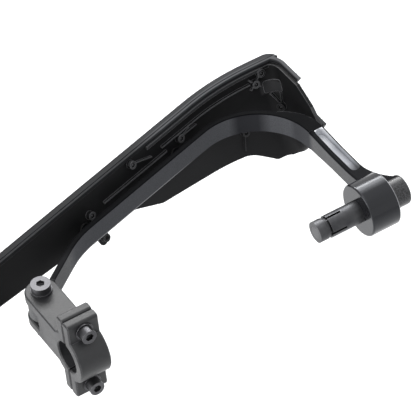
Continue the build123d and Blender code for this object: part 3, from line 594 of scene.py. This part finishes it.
def cover_plastic():
    """Upper cover: fine-grained black moulding, its lip painted paler at the outboard end as painted
    light.
    """
    finish = Finish("cover_plastic", grain=2600.0, patch=20.0, rough=(0.42, 0.55), edge=0.0005)
    tree = finish.tree
    across, _, upward = split_vector(tree, finish.place)
    skin = finish.tint(COVER_SKIN, COVER_SCUFF, share=0.3)
    dark = finish.tint(COVER_BLACK, COVER_SCUFF, share=0.15)
    plain = mix_colour(tree, map_range(tree, upward, *COVER_TOP_FROM), skin, dark)
    # Painted light: the lip's top is painted paler at its outboard end, with a darker strip along its
    # front edge
    depth = place_group(tree, front_depth, Vector=finish.place).outputs["Depth"]
    toned = mix_colour(tree, map_range(tree, depth, *LIP_EDGE_DEPTH), COVER_LIP_EDGE, COVER_LIP_LIT)
    outboard = map_range(tree, across, *LIP_RUN)
    lip = math_node(tree, "MULTIPLY", outboard, map_range(tree, upward, *LIP_FROM))
    colour = mix_colour(tree, lip, plain, toned)
    return finish.close(colour, COVER_SCUFF, bump=0.16, depth=0.0001, specular=0.08)


def clamp_alloy():
    """Clamp: satin black on a cast skin."""
    finish = Finish(
        "clamp_alloy", grain=900.0, patch=45.0, rough=(0.36, 0.54), edge=0.0007, kept=(0.25, 0.55)
    )
    colour = finish.tint(CLAMP_BLACK, CLAMP_WORN, share=0.14)
    return finish.close(colour, CLAMP_WORN, bump=0.45, depth=0.0002, specular=0.45)


def dark_steel():
    """Screws, bolts and washers: black zinc."""
    finish = Finish("dark_steel", grain=1800.0, patch=60.0, rough=(0.28, 0.42), edge=0.0003)
    colour = finish.tint(STEEL_DARK, STEEL_WORN, share=0.15)
    return finish.close(colour, STEEL_WORN, bump=0.06, depth=0.0001, metallic=0.9)


def bright_alloy():
    """Expander: machined alloy, a little dulled."""
    finish = Finish("bright_alloy", grain=1600.0, patch=60.0, rough=(0.34, 0.46), edge=0.0003)
    colour = finish.tint(SLEEVE_GREY, SLEEVE_BRIGHT, share=0.4)
    return finish.close(colour, SLEEVE_BRIGHT, bump=0.06, depth=0.0001, metallic=1.0)


def black_rubber():
    """Rubber washers."""
    finish = Finish("black_rubber", grain=1400.0, patch=60.0, rough=(0.7, 0.82), edge=0.0004)
    colour = finish.tint(RUBBER_BLACK, RUBBER_DUSTY, share=0.4)
    return finish.close(colour, RUBBER_DUSTY, bump=0.2, depth=0.0001, specular=0.3)


finishes = {
    "forged_alloy": forged_alloy(),
    "black_weight": black_weight(),
    "shield_plastic": shield_plastic(),
    "cover_plastic": cover_plastic(),
    "clamp_alloy": clamp_alloy(),
    "dark_steel": dark_steel(),
    "bright_alloy": bright_alloy(),
    "black_rubber": black_rubber(),
}
for subpart in frame["record"]["subparts"]:
    node = nodes[subpart["node"]]
    for material_slot in node.material_slots:
        material_slot.material = finishes[subpart["material_slot"]]

# Camera: it stands at its distance from the origin, and turns to the middle of the frame
scene = bpy.context.scene
view_into = -CAMERA_RIGHT.cross(CAMERA_UP)
camera_place = view_into * -CAMERA_DISTANCE
middle_right = (FRAME_PIXELS / 2 - ORIGIN_PIXEL[0]) / PIXELS_PER_MM * MM
middle_up = (ORIGIN_PIXEL[1] - FRAME_PIXELS / 2) / PIXELS_PER_MM * MM
aim = (CAMERA_RIGHT * middle_right + CAMERA_UP * middle_up - camera_place).normalized()
frame_right = aim.cross(CAMERA_UP).normalized()
frame_up = frame_right.cross(aim)
camera_data = bpy.data.cameras.new("camera")
camera_data.sensor_width = SENSOR_WIDTH
camera_data.lens = PIXELS_PER_MM / MM * CAMERA_DISTANCE / FRAME_PIXELS * SENSOR_WIDTH
camera_data.clip_end = VIEW_END
camera = bpy.data.objects.new("camera", camera_data)
scene.collection.objects.link(camera)
turn = Matrix((frame_right, frame_up, -aim)).transposed()
camera.matrix_world = Matrix.Translation(camera_place) @ turn.to_4x4()
scene.camera = camera

# World: white to the rays that see the background, a soft fill on everything else
world = bpy.data.worlds.new("studio")
scene.world = world
world.use_nodes = True
world_tree = world.node_tree
world_tree.nodes.clear()
world_output = world_tree.nodes.new("ShaderNodeOutputWorld")
fill = world_tree.nodes.new("ShaderNodeBackground")
fill.inputs["Color"].default_value = WORLD_GREY
fill.inputs["Strength"].default_value = WORLD_LIGHT
white = world_tree.nodes.new("ShaderNodeBackground")
white.inputs["Color"].default_value = WORLD_WHITE
white.inputs["Strength"].default_value = 1.0
world_mix = world_tree.nodes.new("ShaderNodeMixShader")
feed(world_tree, background_rays(world_tree), world_mix.inputs["Fac"])
feed(world_tree, fill.outputs["Background"], world_mix.inputs[1])
feed(world_tree, white.outputs["Background"], world_mix.inputs[2])
feed(world_tree, world_mix.outputs["Shader"], world_output.inputs["Surface"])

# Floor: pale paper, with a little light of its own for the rays that see the background
bpy.ops.mesh.primitive_plane_add(size=FLOOR_SIZE, location=(0.0, 0.0, cad_box[0].z - FLOOR_DROP))
floor = bpy.context.object
floor.name = "floor"
paper = bpy.data.materials.new("paper")
paper.use_nodes = True
paper_tree = paper.node_tree
paper_shader = paper_tree.nodes["Principled BSDF"]
paper_shader.inputs["Base Color"].default_value = PAPER_WHITE
paper_shader.inputs["Roughness"].default_value = PAPER_ROUGHNESS
paper_shader.inputs["Emission Color"].default_value = PAPER_WHITE
paper_glow = math_node(paper_tree, "MULTIPLY", background_rays(paper_tree), PAPER_LIFT)
feed(paper_tree, paper_glow, paper_shader.inputs["Emission Strength"])
floor.data.materials.append(paper)


def soft_box(name, direction, distance, size, power):
    """Area lamp in a direction from the middle of the object, aimed at it."""
    lamp = bpy.data.lights.new(name, "AREA")
    lamp.shape = "RECTANGLE"
    lamp.size, lamp.size_y = size
    lamp.energy = power
    body = bpy.data.objects.new(name, lamp)
    scene.collection.objects.link(body)
    way = Vector(direction).normalized()
    body.location = middle + way * distance
    body.rotation_euler = (-way).to_track_quat("-Z", "Y").to_euler()


middle = (cad_box[0] + cad_box[1]) / 2
soft_box("front_light", direction=(0.356, 0.746, 0.559), distance=1.5, size=(1.3, 0.24), power=12.5)
soft_box("middle_light", direction=(0.301, 0.631, 0.713), distance=1.5, size=(1.3, 0.32), power=6.5)
soft_box("upper_light", direction=(0.234, 0.490, 0.839), distance=1.5, size=(1.3, 0.32), power=2.6)
soft_box("top_light", direction=(0.1, 0.0, 1.0), distance=1.3, size=(1.4, 0.8), power=3.6)
soft_box("side_light", direction=(-0.95, -0.05, 0.35), distance=1.3, size=(0.8, 0.8), power=10.0)

scene.view_settings.view_transform = "Standard"
